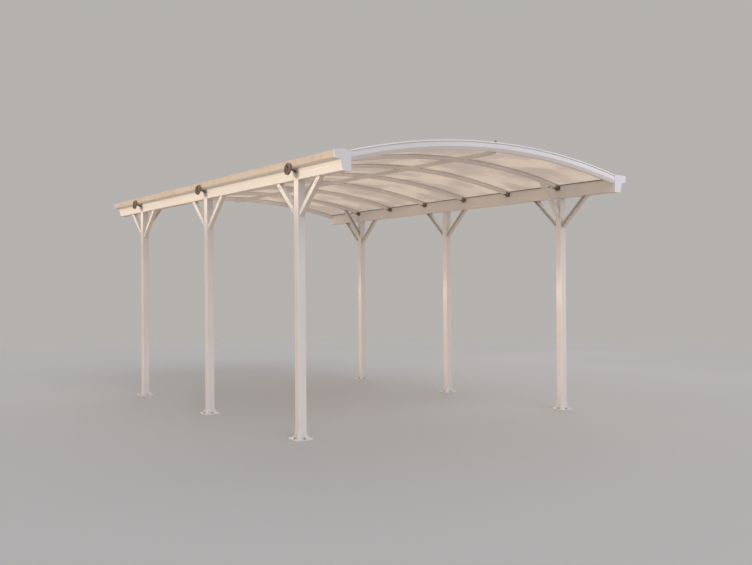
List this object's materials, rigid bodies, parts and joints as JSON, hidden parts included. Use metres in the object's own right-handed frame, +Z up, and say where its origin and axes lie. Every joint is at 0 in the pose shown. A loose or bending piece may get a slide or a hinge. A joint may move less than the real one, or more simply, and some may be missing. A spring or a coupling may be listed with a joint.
{
  "type": "carport",
  "caption": "Free-standing carport: low arched roof of translucent bent sheets on white ribs, gutter beams along both sides, square braced posts on flared feet.",
  "frame": {"origin": "ground level, at the centre of the footprint", "axes": "+Z up, +Y along the length from front to rear, +X to the right seen from the front"},
  "size_m": [3.1968, 5, 2.415],
  "materials": {
    "painted_aluminium": "white powder coat, satin",
    "painted_post": "white powder coat, satin",
    "cast_foot": "white powder coat on a casting, satin",
    "cap_plastic": "moulded, matt",
    "dark_plastic": "moulded, dark brown, matt",
    "clear_sheet": "translucent polycarbonate, smooth"
  },
  "bodies": {
    "root": {"front_arch": "painted_aluminium", "rear_arch": "painted_aluminium", "ridge_purlin": "painted_aluminium", "left_gutter_beam": "painted_aluminium", "right_gutter_beam": "painted_aluminium", "left_panel_clamps": "painted_aluminium", "right_panel_clamps": "painted_aluminium", "rib_1": "painted_aluminium", "rib_2": "painted_aluminium", "rib_3": "painted_aluminium", "rib_4": "painted_aluminium", "rib_5": "painted_aluminium", "rib_6": "painted_aluminium", "post_front_left": "painted_post", "post_front_right": "painted_post", "post_middle_left": "painted_post", "post_middle_right": "painted_post", "post_rear_left": "painted_post", "post_rear_right": "painted_post", "braces_front_left": "painted_post", "braces_front_right": "painted_post", "braces_middle_left": "painted_post", "braces_middle_right": "painted_post", "braces_rear_left": "painted_post", "braces_rear_right": "painted_post", "left_feet": "cast_foot", "right_feet": "cast_foot", "gutter_cap_front_left": "cap_plastic", "gutter_cap_front_right": "cap_plastic", "gutter_cap_rear_left": "cap_plastic", "gutter_cap_rear_right": "cap_plastic", "crown_bolts": "dark_plastic", "left_rib_brackets": "dark_plastic", "right_rib_brackets": "dark_plastic", "left_gutter_fittings": "dark_plastic", "right_gutter_fittings": "dark_plastic", "roof_panel_1": "clear_sheet", "roof_panel_2": "clear_sheet", "roof_panel_3": "clear_sheet", "roof_panel_4": "clear_sheet", "roof_panel_5": "clear_sheet", "roof_panel_6": "clear_sheet", "roof_panel_7": "clear_sheet"}
  },
  "joints": []
}
